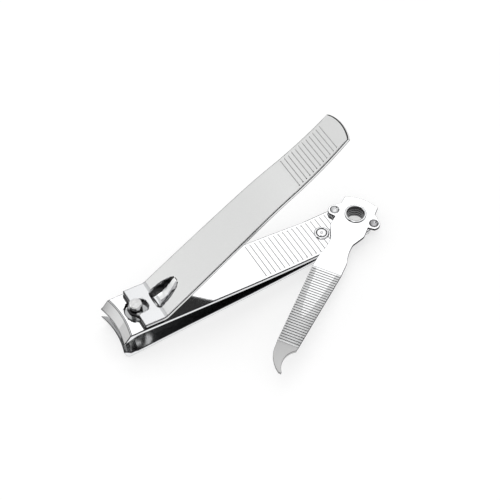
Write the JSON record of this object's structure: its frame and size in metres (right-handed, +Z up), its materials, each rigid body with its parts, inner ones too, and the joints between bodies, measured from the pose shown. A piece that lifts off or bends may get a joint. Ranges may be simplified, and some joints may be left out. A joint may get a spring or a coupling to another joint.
{
  "type": "nail clipper",
  "caption": "Chromed lever nail clipper with hollow-ground jaws, a raised thumb lever on a notched pin and a swing-out file with a hooked cleaner tip.",
  "frame": {"origin": "on the axis of the hollow tail rivet, in the plane that the clipper stands on", "axes": "+Z up along the hollow rivet's hole, +X from the blades to the tail; blades at -X, file swung out to -Y"},
  "size_m": [0.0833, 0.0418, 0.0478],
  "materials": {
    "chrome_steel": "mirror-polished chrome plate, blades ground satin",
    "chrome_rivet": "bright chrome plate",
    "pin_steel": "turned steel with a rough sawn top",
    "satin_lever": "fine satin arm with a bright foot",
    "chrome_file": "bright chrome with cut ridges and a satin tip"
  },
  "bodies": {
    "base": {"lower_jaw": "chrome_steel", "upper_jaw_tail": "chrome_steel", "hollow_rivet": "chrome_rivet", "jaw_rivet": "chrome_rivet"},
    "jaw": {"upper_jaw": "chrome_steel"},
    "pin": {"pin": "pin_steel"},
    "lever": {"lever": "satin_lever"},
    "file": {"nail_file": "chrome_file"}
  },
  "joints": [
    {"name": "lever_press", "type": "hinge", "parent": "pin", "child": "lever", "pos_m": [-0.0709, 0, 0.011], "axis": [0, 1, 0], "range_deg": [0, 14]},
    {"name": "jaw_close", "type": "hinge", "parent": "base", "child": "jaw", "pos_m": [-0.014, 0, 0.0023], "axis": [0, -1, 0], "range_deg": [0, 2.6], "stiffness_Nm_per_rad": 3, "springref_deg": -2.01},
    {"name": "pin_turn", "type": "hinge", "parent": "base", "child": "pin", "pos_m": [-0.0691, 0, 0], "axis": [0, 0, 1], "range_deg": [-10, 10]},
    {"name": "file_swing", "type": "hinge", "parent": "base", "child": "file", "pos_m": [0, 0, 0], "axis": [0, 0, 1], "range_deg": [-34.8, 145.2]}
  ],
  "couplings": [
    {"joint": "jaw_close", "follows": "lever_press", "ratio": 0.1857}
  ]
}
